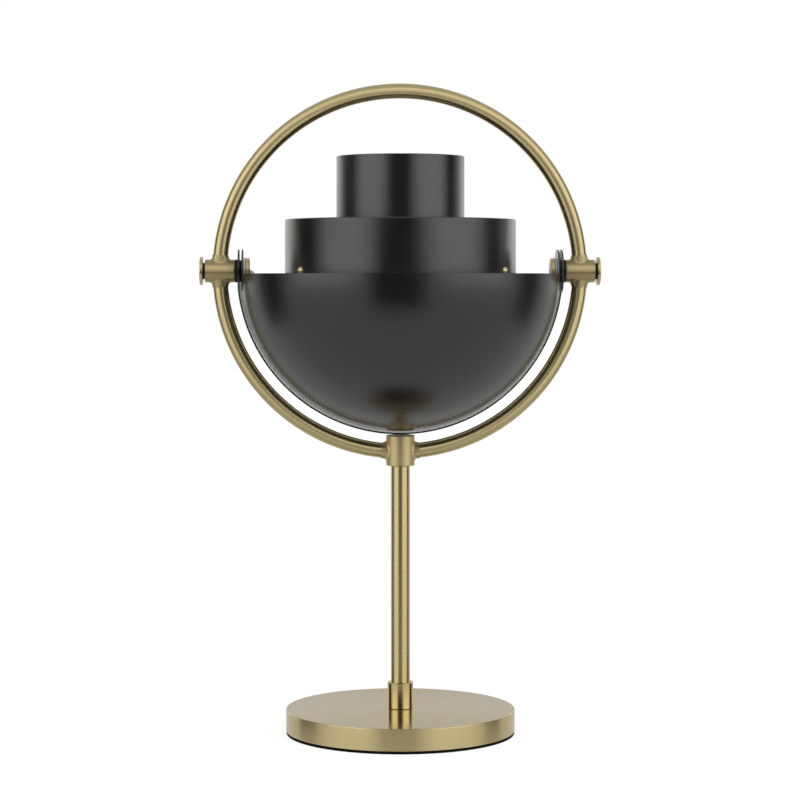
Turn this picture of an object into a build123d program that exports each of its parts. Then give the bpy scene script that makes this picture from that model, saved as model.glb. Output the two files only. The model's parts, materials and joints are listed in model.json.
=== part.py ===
from build123d import *
import os
from math import asin, atan2, cos, degrees, pi, radians, sin, sqrt

# A portable table lamp. A round weighted base carries a slim stem and a ring of tube.
# Two nested quarter-sphere shades turn on the ring's horizontal axis, round a stepped drum.
# Millimetres, +Z up, origin under the middle of the base.
# X runs along the pivot axis, and the front looks towards -Y.

# Fits
RUNNING_CLEARANCE = 0.05  # radial, shade ear on axle
SEAT_CLEARANCE = 0.05  # radial, screwed and soldered seats
EAR_PLAY = 0.05  # axial, each side of a turning ear
SLIDE_CLEARANCE = 0.10  # radial, button in its hole
FITTING_GAP = 0.30  # round loosely fitted inner pieces

# Base
PAD_THICKNESS = 1.5
PAD_SETBACK = 0.15
BASE_DIAMETER = 120.0
BASE_HEIGHT = 11.2
BASE_WALL = 2.5
BASE_TOP_THICKNESS = 2.2
BASE_EDGE_RADIUS = 0.4
PLATE_THICKNESS = 3.0
BOSS_DIAMETER = 8.0
BOSS_INSET = 5.5
BOSS_ANGLES = (-90.0, 38.0, 142.0)
PLATE_SCREW_DIAMETER = 3.0
PLATE_SCREW_HEAD = 5.6
PLATE_SCREW_BITE = 4.0

# Supply inside the base
BOARD_THICKNESS = 1.2
BOARD_STAND_OFF = 0.8
BOARD_TONGUE_WIDTH = 19.0
BOARD_HEAD_WIDTH = 30.0
BOARD_HEAD_LENGTH = 15.0
BOARD_PAST_STEM = 9.0
LAND_DEPTH = 2.3  # flat land inside the rear wall
BOARD_TO_LAND = 2.2
BATTERY_WIDTH = 28.0
BATTERY_LENGTH = 54.0
BATTERY_THICKNESS = 5.2
BATTERY_EDGE_RADIUS = 1.5
BATTERY_OFFSET_Y = -4.0
WEIGHT_WIDTH = 24.0
WEIGHT_THICKNESS = 5.4
BATTERY_WIRE = 1.2
BATTERY_WIRE_SPACING = 4.0
BATTERY_WIRE_BEND = 1.5
PORT_WIDTH = 9.0
PORT_HEIGHT = 3.2
PORT_WALL = 0.3
PORT_TONGUE_WIDTH = 6.6
PORT_TONGUE_HEIGHT = 0.7
PORT_TAIL = 5.0
PORT_BACK_WALL = 2.5
PORT_RECESS = 0.5
CONTROL_SPACING = 18.0  # between port and button
SWITCH_WIDTH = 6.0
SWITCH_LENGTH = 3.6
SWITCH_HEIGHT = 3.4
BUTTON_DIAMETER = 4.0
BUTTON_FLANGE_DIAMETER = 5.2
BUTTON_FLANGE_THICKNESS = 0.8
BUTTON_PROUD = 1.2
BUTTON_TRAVEL = 0.8
BUTTON_EDGE_RADIUS = 0.5
BUTTON_HEIGHT_OVER_BOARD = 1.3
PLUNGER_DIAMETER = 2.0
PLUNGER_ENGAGEMENT = 0.6

# Stem
STEM_DIAMETER = 10.0
STEM_BORE = 7.0
STEM_REACH = 127.4  # base top to the underside of the ring collar
LOWER_COLLAR_DIAMETER = 13.6
LOWER_COLLAR_HEIGHT = 13.8
STEM_NUT_FLATS = 15.0
STEM_NUT_THICKNESS = 3.0
STEM_TAIL = 0.3  # thread end below the nut

# Shades
SHADE_RADIUS = 84.0  # outside of the inner, front shade
SHADE_WALL = 0.8
NEST_GAP = 1.2  # between the two shells
SHADE_CUT_OFFSET = 1.3  # rim planes to the pivot axis
EAR_RADIUS = 11.3

# Ring and fittings
RING_TUBE_DIAMETER = 7.9
RING_TUBE_WALL = 1.1
SLEEVE_DIAMETER = 12.0
SLEEVE_LENGTH = 15.6
SLEEVE_BORE = 7.6
SOCKET_ROOM = 0.4  # tube end to the bore it opens into
NECK_WALL = 0.35
NECK_HEIGHT = 2.3
NECK_FILLET = 1.5
FITTING_CHAMFER = 0.4
COLLAR_DIAMETER = 15.0
COLLAR_BELOW_RING = 7.5
COLLAR_SHADE_GAP = 0.25
COLLAR_BORE = 8.4
COLLAR_ROOF_ROOM = 0.6

# Pivots
AXLE_DIAMETER = 6.6
AXLE_BORE = 4.2
AXLE_ROOT_LENGTH = 3.6
SLEEVE_WASHER_DIAMETER = 12.0
SLEEVE_WASHER_THICKNESS = 1.6
SPACER_WASHER_DIAMETER = 11.4
BRACKET_WASHER_DIAMETER = 11.0
BRACKET_WASHER_THICKNESS = 0.3
NUT_DIAMETER = 13.6
NUT_THICKNESS = 2.2
NUT_CHAMFER = 0.3
KNOB_DIAMETER = 14.8
KNOB_RIM = 1.5
KNOB_DOME = 0.6
KNOB_WASHER_DIAMETER = 8.6
KNOB_WASHER_THICKNESS = 1.1
KNOB_PLUG_LENGTH = 3.6

# Carrier bracket
SHEET_THICKNESS = 0.8
ARM_WIDTH = 14.0
CARRIER_WIDTH = 9.0
CARRIER_TO_DRUM = 3.0
TAB_WIDTH = 9.0
TAB_RISE = 4.0
TAB_TO_DRUM = 0.4
BEND_RADIUS = 0.8

# Drum and cylinder
DRUM_DIAMETER = 121.2
DRUM_ABOVE_AXIS = 27.0
DRUM_BELOW_AXIS = 27.0
DRUM_WALL = 1.0
DRUM_EDGE_RADIUS = 0.7
NOTCH_WIDTH = 17.0
NOTCH_CORNER = 1.5
DRUM_SCREW_ANGLES = (-30.0, -150.0, 90.0)
DRUM_SCREW_DIAMETER = 2.5
DRUM_SCREW_HEAD = 4.4
DRUM_SCREW_DOME = 1.5
DRUM_SCREW_BITE = 1.5
CYLINDER_DIAMETER = 67.2
CYLINDER_HEIGHT = 33.2
CYLINDER_WALL = 1.0
CYLINDER_FLANGE = 7.5
CYLINDER_EDGE_RADIUS = 0.35
TOP_SCREW_INSET = 3.2
TOP_SCREW_COUNT = 3
TOP_SCREW_DIAMETER = 2.5
TOP_SCREW_HEAD = 5.0
TOP_SCREW_HEAD_HEIGHT = 1.8
TOP_SCREW_EDGE_RADIUS = 0.9

# Light source
SINK_FLANGE_THICKNESS = 4.0
SINK_LIP = 5.0
SINK_SPIGOT_HEIGHT = 4.0
SINK_CORE_DIAMETER = 16.0
SINK_FLOOR = 2.0
SINK_FIN_HEIGHT = 22.0
SINK_FIN_THICKNESS = 1.4
SINK_FIN_COUNT = 16
SINK_TO_SHOULDER = 1.0
LED_BOARD_THICKNESS = 1.6
LED_BOARD_SETBACK = 1.5
LED_COUNT = 8
LED_CIRCLE_RADIUS = 14.0
LED_WIDTH = 3.0
LED_THICKNESS = 0.7
LED_SCREW_COUNT = 3
LED_SCREW_INSET = 4.0
LED_SCREW_DIAMETER = 2.0
LED_SCREW_HEAD = 4.0
LED_SCREW_HEAD_HEIGHT = 1.4
LED_SCREW_BITE = 3.0
PLUG_LENGTH = 6.0
PLUG_WIDTH = 5.0
PLUG_HEIGHT = 4.4
DIFFUSER_DIAMETER = 60.4
DIFFUSER_WALL = 1.6
DIFFUSER_DEPTH = 36.0
DIFFUSER_CORNER = 16.0

# Internal lead
LEAD_DIAMETER = 2.0
LEAD_STEM_BEND = 5.0
LEAD_PIVOT_BEND = 3.2
LEAD_DROP_BEND = 3.0
LEAD_DROP_LENGTH = 2.6
LEAD_RISE_BEND = 6.0
LEAD_PAST_NUT = 1.0

# Heights in the base
base_bottom = PAD_THICKNESS
base_top = base_bottom + BASE_HEIGHT
plate_top = base_bottom + PLATE_THICKNESS
base_ceiling = base_top - BASE_TOP_THICKNESS
board_bottom = plate_top + BOARD_STAND_OFF
board_top = board_bottom + BOARD_THICKNESS
base_radius = BASE_DIAMETER / 2
cavity_radius = base_radius - BASE_WALL
boss_circle = cavity_radius - BOSS_INSET
land_y = cavity_radius - LAND_DEPTH
board_rear = land_y - BOARD_TO_LAND
port_x = -CONTROL_SPACING / 2
button_x = CONTROL_SPACING / 2
button_z = board_top + BUTTON_HEIGHT_OVER_BOARD
port_z = board_top + PORT_HEIGHT / 2

# Stations along the pivot axis, from the middle outwards
rear_shade_radius = SHADE_RADIUS + NEST_GAP + SHADE_WALL
front_ear_face = sqrt(SHADE_RADIUS**2 - EAR_RADIUS**2)
rear_ear_face = sqrt(rear_shade_radius**2 - EAR_RADIUS**2)
front_ear_back = front_ear_face - SHADE_WALL
rear_ear_back = rear_ear_face - SHADE_WALL
bracket_face = front_ear_back - EAR_PLAY - BRACKET_WASHER_THICKNESS
bracket_back = bracket_face - SHEET_THICKNESS
nut_back = bracket_back - NUT_THICKNESS
sleeve_inner = rear_ear_face + EAR_PLAY + SLEEVE_WASHER_THICKNESS
sleeve_outer = sleeve_inner + SLEEVE_LENGTH
ring_radius = sleeve_inner + SLEEVE_LENGTH / 2
axle_radius = AXLE_DIAMETER / 2
seat_radius = axle_radius + SEAT_CLEARANCE

# Heights above the base
collar_bottom = base_top + STEM_REACH
pivot_z = collar_bottom + COLLAR_BELOW_RING + ring_radius
collar_top = pivot_z - rear_shade_radius - COLLAR_SHADE_GAP
tube_radius = RING_TUBE_DIAMETER / 2
tube_bore = tube_radius - RING_TUBE_WALL
socket_radius = tube_radius + SEAT_CLEARANCE
neck_radius = tube_radius + NECK_WALL
stem_seat_depth = COLLAR_BELOW_RING - socket_radius - FITTING_GAP

# Drum, cylinder and light source, as heights from the pivot axis
drum_radius = DRUM_DIAMETER / 2
drum_bore = drum_radius - DRUM_WALL
cylinder_radius = CYLINDER_DIAMETER / 2
cylinder_bore = cylinder_radius - CYLINDER_WALL
shoulder_hole = cylinder_radius - CYLINDER_FLANGE
top_screw_circle = cylinder_bore - TOP_SCREW_INSET
sink_top = DRUM_ABOVE_AXIS - DRUM_WALL
sink_bottom = sink_top - SINK_FLANGE_THICKNESS
spigot_bottom = sink_bottom - SINK_SPIGOT_HEIGHT
led_board_bottom = spigot_bottom - LED_BOARD_THICKNESS
diffuser_radius = DIFFUSER_DIAMETER / 2
diffuser_bore = diffuser_radius - DIFFUSER_WALL
spigot_radius = diffuser_bore - SEAT_CLEARANCE
sink_radius = max(diffuser_radius, top_screw_circle) + SINK_LIP
fin_radius = shoulder_hole - SINK_TO_SHOULDER
led_board_radius = spigot_radius - LED_BOARD_SETBACK
led_screw_circle = led_board_radius - LED_SCREW_INSET
carrier_radius = drum_bore - CARRIER_TO_DRUM
tab_face = drum_bore - TAB_TO_DRUM
arm_top = -NUT_DIAMETER / 2 - FITTING_GAP
arm_bottom = arm_top - SHEET_THICKNESS
lead_over_arm = arm_top + LEAD_DIAMETER / 2 + SEAT_CLEARANCE
notch_top = lead_over_arm + LEAD_DIAMETER / 2 + FITTING_GAP
plug_x = led_screw_circle
plug_z = led_board_bottom - PLUG_HEIGHT / 2

# The pivot plane has X along the axle and its second direction upwards, from the axle.
# The lamp axis plane looks along +Z at the same height.
pivot_plane = Plane((0, 0, pivot_z), x_dir=(1, 0, 0), z_dir=(0, -1, 0))
axis_plane = Plane.XY.offset(pivot_z)
pivot_axis = Axis((0, 0, pivot_z), (1, 0, 0))
ring_axis = Axis((0, 0, pivot_z), (0, -1, 0))
SIDES = {"left": -1, "right": 1}

os.makedirs("parts", exist_ok=True)


def write(piece, node):
    """Label one finished piece and write it as a node."""
    piece.part.label = node
    export_step(piece.part, f"parts/{node}.step")


def across(side, x):
    """The plane square to the pivot axis at x, facing outwards on that side."""
    return Plane((side * x, 0, pivot_z), x_dir=(0, side, 0), z_dir=(side, 0, 0))


def rear_plane(x, y, z):
    """The plane through a point, facing the rear, with its second direction upwards."""
    return Plane((x, y, z), x_dir=(-1, 0, 0), z_dir=(0, 1, 0))


def radial_plane(angle, radius):
    """The plane on the drum's side at an angle, facing outwards, level with the pivot axis."""
    outward = Vector(cos(radians(angle)), sin(radians(angle)), 0)
    sideways = Vector(-sin(radians(angle)), cos(radians(angle)), 0)
    return Plane(outward * radius + Vector(0, 0, pivot_z), x_dir=sideways, z_dir=outward)


# Foot pad
with BuildPart() as foot_pad:
    with BuildSketch():
        Circle(base_radius - PAD_SETBACK)
    extrude(amount=PAD_THICKNESS)
write(foot_pad, "foot_pad")

# Base shell: a turned cup with a flat land inside the rear wall for port and button
with BuildPart() as base_shell:
    with BuildSketch(Plane.XY.offset(base_bottom)):
        Circle(base_radius)
    extrude(amount=BASE_HEIGHT)
    fillet(base_shell.edges().group_by(Axis.Z)[-1], BASE_EDGE_RADIUS)
    with BuildSketch(Plane.XY.offset(base_bottom)):
        Circle(cavity_radius)
    extrude(amount=PLATE_THICKNESS, mode=Mode.SUBTRACT)
    with BuildSketch(Plane.XY.offset(plate_top)):
        Circle(cavity_radius)
        with Locations((0, land_y)):
            Rectangle(BASE_DIAMETER, BASE_DIAMETER, align=(Align.CENTER, Align.MIN), mode=Mode.SUBTRACT)
    extrude(amount=base_ceiling - plate_top, mode=Mode.SUBTRACT)
    with BuildSketch(Plane.XY.offset(plate_top)):
        for angle in BOSS_ANGLES:
            with PolarLocations(boss_circle, 1, start_angle=angle):
                Circle(BOSS_DIAMETER / 2)
                Circle(PLATE_SCREW_DIAMETER / 2 + SEAT_CLEARANCE, mode=Mode.SUBTRACT)
    extrude(amount=base_ceiling - plate_top)
    with BuildSketch(Plane.XY.offset(base_ceiling)):
        Circle(STEM_DIAMETER / 2 + SEAT_CLEARANCE)
    extrude(amount=BASE_TOP_THICKNESS, mode=Mode.SUBTRACT)
    with BuildSketch(rear_plane(port_x, land_y, port_z)):
        SlotOverall(PORT_WIDTH + 2 * SLIDE_CLEARANCE, PORT_HEIGHT + 2 * SLIDE_CLEARANCE)
    with BuildSketch(rear_plane(button_x, land_y, button_z)):
        Circle(BUTTON_DIAMETER / 2 + SLIDE_CLEARANCE)
    extrude(amount=base_radius - land_y, mode=Mode.SUBTRACT)
write(base_shell, "base_shell")

# Ballast plate closes the base from below
with BuildPart() as ballast_plate:
    with BuildSketch(Plane.XY.offset(base_bottom)):
        Circle(cavity_radius - FITTING_GAP)
    extrude(amount=PLATE_THICKNESS)
    for angle in BOSS_ANGLES:
        spot = Vector(boss_circle * cos(radians(angle)), boss_circle * sin(radians(angle)), base_bottom)
        with Locations(Plane(spot, z_dir=(0, 0, -1))):
            CounterSinkHole(
                PLATE_SCREW_DIAMETER / 2 + SEAT_CLEARANCE,
                PLATE_SCREW_HEAD / 2 + SEAT_CLEARANCE,
                depth=PLATE_THICKNESS,
                counter_sink_angle=90,
            )
write(ballast_plate, "ballast_plate")

with BuildPart() as plate_screw:
    sink_depth = (PLATE_SCREW_HEAD - PLATE_SCREW_DIAMETER) / 2
    with BuildSketch(Plane.XZ):
        with BuildLine():
            Polyline(
                (0, 0),
                (PLATE_SCREW_HEAD / 2, 0),
                (PLATE_SCREW_DIAMETER / 2, sink_depth),
                (PLATE_SCREW_DIAMETER / 2, PLATE_THICKNESS + PLATE_SCREW_BITE),
                (0, PLATE_THICKNESS + PLATE_SCREW_BITE),
                close=True,
            )
        make_face()
    revolve(axis=Axis.Z)

with BuildPart() as ballast_plate_screws:
    for angle in BOSS_ANGLES:
        spot = Vector(boss_circle * cos(radians(angle)), boss_circle * sin(radians(angle)), base_bottom)
        with Locations(spot):
            add(plate_screw.part)
write(ballast_plate_screws, "ballast_plate_screws")

# Battery and counterweight lie on the plate, each with its outer corners near the wall
battery_reach = BATTERY_LENGTH / 2 + abs(BATTERY_OFFSET_Y)
battery_outer = sqrt((cavity_radius - FITTING_GAP) ** 2 - battery_reach**2) - FITTING_GAP
battery_inner = battery_outer - BATTERY_WIDTH

with BuildPart() as battery_pack:
    with BuildSketch(Plane.XY.offset(plate_top)):
        with Locations((-battery_outer, BATTERY_OFFSET_Y)):
            Rectangle(BATTERY_WIDTH, BATTERY_LENGTH, align=(Align.MIN, Align.CENTER))
    extrude(amount=BATTERY_THICKNESS)
    fillet(battery_pack.edges().filter_by(Axis.Y), BATTERY_EDGE_RADIUS)
write(battery_pack, "battery_pack")

with BuildPart() as ballast_weight:
    with BuildSketch(Plane.XY.offset(plate_top)):
        with Locations((battery_outer, BATTERY_OFFSET_Y)):
            Rectangle(WEIGHT_WIDTH, BATTERY_LENGTH, align=(Align.MAX, Align.CENTER))
    extrude(amount=WEIGHT_THICKNESS)
    chamfer(ballast_weight.edges().group_by(Axis.Z)[-1], FITTING_CHAMFER)
write(ballast_weight, "ballast_weight")

# Control board: a tongue that reaches under the stem, and a wide head at the rear wall
with BuildPart() as control_board:
    with BuildSketch(Plane.XY.offset(board_bottom)):
        with Locations((0, -BOARD_PAST_STEM)):
            Rectangle(
                BOARD_TONGUE_WIDTH, board_rear + BOARD_PAST_STEM, align=(Align.CENTER, Align.MIN)
            )
        with Locations((0, board_rear)):
            Rectangle(BOARD_HEAD_WIDTH, BOARD_HEAD_LENGTH, align=(Align.CENTER, Align.MAX))
    extrude(amount=BOARD_THICKNESS)
    with BuildSketch(Plane.XY.offset(plate_top)):
        with Locations((0, board_rear - BOARD_HEAD_LENGTH), (0, 0)):
            Rectangle(BOARD_TONGUE_WIDTH, BOARD_THICKNESS)
    extrude(amount=BOARD_STAND_OFF)
write(control_board, "control_board")

# Two wires from the battery down onto the board
wire_z = plate_top + BATTERY_THICKNESS / 2
wire_end_x = -BOARD_TONGUE_WIDTH / 2 + BATTERY_WIRE_BEND
with BuildPart() as battery_lead:
    for wire_y in (-BATTERY_WIRE_SPACING / 2, BATTERY_WIRE_SPACING / 2):
        wire_plane = Plane((0, BATTERY_OFFSET_Y + wire_y, 0), x_dir=(1, 0, 0), z_dir=(0, -1, 0))
        with BuildLine(wire_plane):
            FilletPolyline(
                (-battery_inner, wire_z + BATTERY_WIRE),
                (wire_end_x, wire_z + BATTERY_WIRE),
                (wire_end_x, board_top),
                radius=BATTERY_WIRE_BEND,
            )
        wire_start = Plane(
            (-battery_inner, BATTERY_OFFSET_Y + wire_y, wire_z + BATTERY_WIRE), z_dir=(1, 0, 0)
        )
        with BuildSketch(wire_start):
            Circle(BATTERY_WIRE / 2)
        sweep()
write(battery_lead, "battery_lead")

# Charging inlet: a thin oval shell with a contact tongue
port_mouth = sqrt(base_radius**2 - (abs(port_x) + PORT_WIDTH / 2) ** 2) - PORT_RECESS
port_back = board_rear - PORT_TAIL
port_plane = rear_plane(port_x, port_back, port_z)
with BuildPart() as charge_port:
    with BuildSketch(port_plane):
        SlotOverall(PORT_WIDTH, PORT_HEIGHT)
    extrude(amount=port_mouth - port_back)
    with BuildSketch(port_plane.offset(PORT_BACK_WALL)):
        SlotOverall(PORT_WIDTH - 2 * PORT_WALL, PORT_HEIGHT - 2 * PORT_WALL)
        Rectangle(PORT_TONGUE_WIDTH, PORT_TONGUE_HEIGHT, mode=Mode.SUBTRACT)
    extrude(amount=port_mouth - port_back, mode=Mode.SUBTRACT)
write(charge_port, "charge_port")

# Switch body with a bore for the button's plunger
switch_plane = rear_plane(button_x, board_rear, button_z)
flange_face = land_y - SLIDE_CLEARANCE
flange_back = flange_face - BUTTON_FLANGE_THICKNESS
plunger_tip = board_rear - PLUNGER_ENGAGEMENT
with BuildPart() as tact_switch:
    with BuildSketch(Plane((button_x, board_rear, board_top))):
        Rectangle(SWITCH_WIDTH, SWITCH_LENGTH, align=(Align.CENTER, Align.MAX))
    extrude(amount=SWITCH_HEIGHT)
    with BuildSketch(switch_plane):
        Circle(PLUNGER_DIAMETER / 2 + SLIDE_CLEARANCE)
    extrude(amount=-(PLUNGER_ENGAGEMENT + BUTTON_TRAVEL + FITTING_GAP), mode=Mode.SUBTRACT)
write(tact_switch, "tact_switch")

# Push button: plunger, flange behind the wall, and a rounded cap
button_length = base_radius + BUTTON_PROUD - flange_face
with BuildPart() as switch_button:
    with BuildSketch(switch_plane.offset(plunger_tip - board_rear)):
        Circle(PLUNGER_DIAMETER / 2)
    extrude(amount=flange_back - plunger_tip)
    with BuildSketch(switch_plane.offset(flange_back - board_rear)):
        Circle(BUTTON_FLANGE_DIAMETER / 2)
    extrude(amount=BUTTON_FLANGE_THICKNESS)
    with BuildSketch(switch_plane.offset(flange_face - board_rear)):
        Circle(BUTTON_DIAMETER / 2)
    extrude(amount=button_length)
    fillet(switch_button.edges().group_by(Axis.Y)[-1], BUTTON_EDGE_RADIUS)
write(switch_button, "switch_button")

# Stem: lower collar, tube and the nut under the base top
with BuildPart() as lower_collar:
    with BuildSketch(Plane.XY.offset(base_top)):
        Circle(LOWER_COLLAR_DIAMETER / 2)
        Circle(STEM_DIAMETER / 2 + SEAT_CLEARANCE, mode=Mode.SUBTRACT)
    extrude(amount=LOWER_COLLAR_HEIGHT)
    outer_edges = lower_collar.edges().filter_by(GeomType.CIRCLE).group_by(SortBy.RADIUS)[-1]
    chamfer(outer_edges, FITTING_CHAMFER)
write(lower_collar, "lower_collar")

stem_bottom = base_ceiling - STEM_NUT_THICKNESS - STEM_TAIL
stem_top = collar_bottom + stem_seat_depth
with BuildPart() as stem_tube:
    with BuildSketch(Plane.XY.offset(stem_bottom)):
        Circle(STEM_DIAMETER / 2)
        Circle(STEM_BORE / 2, mode=Mode.SUBTRACT)
    extrude(amount=stem_top - stem_bottom)
write(stem_tube, "stem_tube")

with BuildPart() as stem_nut:
    with BuildSketch(Plane.XY.offset(base_ceiling - STEM_NUT_THICKNESS)):
        RegularPolygon(STEM_NUT_FLATS / 2, 6, major_radius=False)
        Circle(STEM_DIAMETER / 2 + SEAT_CLEARANCE, mode=Mode.SUBTRACT)
    extrude(amount=STEM_NUT_THICKNESS)
write(stem_nut, "stem_nut")


def ring_section(radius, start, end, mode=Mode.ADD, bore=0.0):
    """A length of the ring between two angles from +X, upwards positive."""
    start_plane = Plane(
        (ring_radius * cos(radians(start)), 0, pivot_z + ring_radius * sin(radians(start))),
        x_dir=(cos(radians(start)), 0, sin(radians(start))),
        z_dir=(-sin(radians(start)), 0, cos(radians(start))),
    )
    with BuildSketch(start_plane) as section:
        Circle(radius)
        if bore:
            Circle(bore, mode=Mode.SUBTRACT)
    revolve(section.sketch, axis=ring_axis, revolution_arc=end - start, mode=mode)


# Ring tubes end inside the walls of sleeves and collar
sleeve_end = degrees(asin((SLEEVE_BORE / 2 + SOCKET_ROOM) / ring_radius))
collar_end = degrees(asin((COLLAR_BORE / 2 + SOCKET_ROOM) / ring_radius))
RING_ARCS = {
    "ring_upper_arc": (sleeve_end, 180 - sleeve_end),
    "ring_lower_left_arc": (180 + sleeve_end, 270 - collar_end),
    "ring_lower_right_arc": (270 + collar_end, 360 - sleeve_end),
}
for node, (start, end) in RING_ARCS.items():
    with BuildPart() as ring_arc:
        ring_section(tube_radius, start, end, bore=tube_bore)
    write(ring_arc, node)

# Cross sleeves: a turned body with a flared neck for each tube
neck_angle = degrees(asin((SLEEVE_DIAMETER / 2 + NECK_HEIGHT) / ring_radius))
for name, side in SIDES.items():
    middle = 0 if side > 0 else 180
    with BuildPart() as sleeve:
        with BuildSketch(across(side, sleeve_inner)):
            Circle(SLEEVE_DIAMETER / 2)
        extrude(amount=SLEEVE_LENGTH)
        chamfer(sleeve.edges().filter_by(GeomType.CIRCLE), FITTING_CHAMFER)
        body_edges = sleeve.edges()
        ring_section(neck_radius, middle - neck_angle, middle + neck_angle)
        neck_edges = (sleeve.edges() - body_edges).filter_by(GeomType.CIRCLE, reverse=True)
        fillet(neck_edges, NECK_FILLET)
        ring_section(socket_radius, middle - neck_angle, middle + neck_angle, mode=Mode.SUBTRACT)
        with BuildSketch(across(side, sleeve_inner)):
            Circle(SLEEVE_BORE / 2)
        extrude(amount=SLEEVE_LENGTH, mode=Mode.SUBTRACT)
    write(sleeve, f"{name}_sleeve")

# Ring collar: a turned T-fitting, bored for the stem from below
collar_neck_angle = degrees(asin((COLLAR_DIAMETER / 2 + NECK_HEIGHT) / ring_radius))
collar_roof = pivot_z - ring_radius + tube_bore + COLLAR_ROOF_ROOM
with BuildPart() as ring_collar:
    with BuildSketch(Plane.XY.offset(collar_bottom)):
        Circle(COLLAR_DIAMETER / 2)
    extrude(amount=collar_top - collar_bottom)
    chamfer(ring_collar.edges().filter_by(GeomType.CIRCLE), FITTING_CHAMFER)
    body_edges = ring_collar.edges()
    ring_section(neck_radius, 270 - collar_neck_angle, 270 + collar_neck_angle)
    neck_edges = (ring_collar.edges() - body_edges).filter_by(GeomType.CIRCLE, reverse=True)
    fillet(neck_edges, NECK_FILLET)
    ring_section(
        socket_radius, 270 - collar_neck_angle, 270 + collar_neck_angle, mode=Mode.SUBTRACT
    )
    with BuildSketch(Plane.XY.offset(collar_bottom)):
        Circle(STEM_DIAMETER / 2 + SEAT_CLEARANCE)
    extrude(amount=stem_seat_depth, mode=Mode.SUBTRACT)
    with BuildSketch(Plane.XY.offset(collar_bottom)):
        Circle(COLLAR_BORE / 2)
    extrude(amount=collar_roof - collar_bottom, mode=Mode.SUBTRACT)
write(ring_collar, "ring_collar")

# Pivots: knob, hollow axle
knob_face = sleeve_outer + KNOB_WASHER_THICKNESS
knob_plug_radius = SLEEVE_BORE / 2 - SEAT_CLEARANCE
for name, side in SIDES.items():
    with BuildPart() as knob:
        with BuildSketch(pivot_plane):
            with BuildLine():
                Polyline(
                    (side * (knob_face + KNOB_RIM), KNOB_DIAMETER / 2),
                    (side * knob_face, KNOB_DIAMETER / 2),
                    (side * knob_face, knob_plug_radius),
                    (side * (sleeve_outer - KNOB_PLUG_LENGTH), knob_plug_radius),
                    (side * (sleeve_outer - KNOB_PLUG_LENGTH), 0),
                    (side * (knob_face + KNOB_RIM + KNOB_DOME), 0),
                )
                dome_radius = (KNOB_DIAMETER**2 / 4 + KNOB_DOME**2) / (2 * KNOB_DOME)
                RadiusArc(
                    (side * (knob_face + KNOB_RIM + KNOB_DOME), 0),
                    (side * (knob_face + KNOB_RIM), KNOB_DIAMETER / 2),
                    -side * dome_radius,
                )
            make_face()
        revolve(axis=pivot_axis)
        rims = knob.edges().filter_by(GeomType.CIRCLE)
        fillet(rims.filter_by(lambda edge: edge.radius > KNOB_WASHER_DIAMETER / 2), FITTING_CHAMFER)
    write(knob, f"{name}_pivot_knob")

    with BuildPart() as axle:
        with BuildSketch(across(side, nut_back)):
            Circle(axle_radius)
        extrude(amount=sleeve_inner - nut_back)
        with BuildSketch(across(side, sleeve_inner)):
            Circle(knob_plug_radius)
        extrude(amount=AXLE_ROOT_LENGTH)
        with BuildSketch(across(side, nut_back)):
            Circle(AXLE_BORE / 2)
        extrude(amount=sleeve_outer - nut_back, mode=Mode.SUBTRACT)
    write(axle, f"{name}_pivot_axle")

# Washers and nuts on the axles, one of each kind on either side
WASHERS = {
    "knob_washers": (sleeve_outer, knob_face, KNOB_WASHER_DIAMETER, SLEEVE_BORE / 2),
    "sleeve_washers": (rear_ear_face + EAR_PLAY, sleeve_inner, SLEEVE_WASHER_DIAMETER, seat_radius),
    "spacer_washers": (
        front_ear_face + EAR_PLAY,
        rear_ear_back - EAR_PLAY,
        SPACER_WASHER_DIAMETER,
        seat_radius,
    ),
    "bracket_washers": (
        bracket_face,
        front_ear_back - EAR_PLAY,
        BRACKET_WASHER_DIAMETER,
        seat_radius,
    ),
    "pivot_nuts": (nut_back, bracket_back, NUT_DIAMETER, seat_radius),
}
for node, (start, end, diameter, hole_radius) in WASHERS.items():
    with BuildPart() as washers:
        for side in SIDES.values():
            with BuildSketch(across(side, start)):
                Circle(diameter / 2)
                Circle(hole_radius, mode=Mode.SUBTRACT)
            extrude(amount=end - start)
        if node == "pivot_nuts":
            rims = washers.edges().filter_by(GeomType.CIRCLE)
            chamfer(rims.filter_by(lambda edge: edge.radius > seat_radius), NUT_CHAMFER)
    write(washers, node)


def quarter_shade(radius, facing):
    """One shade: a sphere wall with flattened poles, cut to a quarter, and its two round ears."""
    flat = sqrt(radius**2 - EAR_RADIUS**2)
    inner_radius = radius - SHADE_WALL
    inner_edge = sqrt(inner_radius**2 - (flat - SHADE_WALL) ** 2)
    bore = axle_radius + RUNNING_CLEARANCE
    with BuildPart() as shade:
        with BuildSketch(pivot_plane):
            with BuildLine():
                ThreePointArc((-flat, EAR_RADIUS), (0, radius), (flat, EAR_RADIUS))
                Polyline((flat, EAR_RADIUS), (flat, bore), (flat - SHADE_WALL, bore))
                Line((flat - SHADE_WALL, bore), (flat - SHADE_WALL, inner_edge))
                ThreePointArc(
                    (flat - SHADE_WALL, inner_edge), (0, inner_radius), (SHADE_WALL - flat, inner_edge)
                )
                Line((SHADE_WALL - flat, inner_edge), (SHADE_WALL - flat, bore))
                Polyline((SHADE_WALL - flat, bore), (-flat, bore), (-flat, EAR_RADIUS))
            make_face()
        revolve(axis=pivot_axis)
        split(bisect_by=Plane.XY.offset(pivot_z - SHADE_CUT_OFFSET), keep=Keep.BOTTOM)
        split(bisect_by=Plane((0, facing * SHADE_CUT_OFFSET, 0), z_dir=(0, facing, 0)), keep=Keep.TOP)
        for side in SIDES.values():
            with BuildSketch(across(side, flat - SHADE_WALL)):
                Circle(EAR_RADIUS)
                Circle(bore, mode=Mode.SUBTRACT)
            extrude(amount=SHADE_WALL)
    return shade


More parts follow.
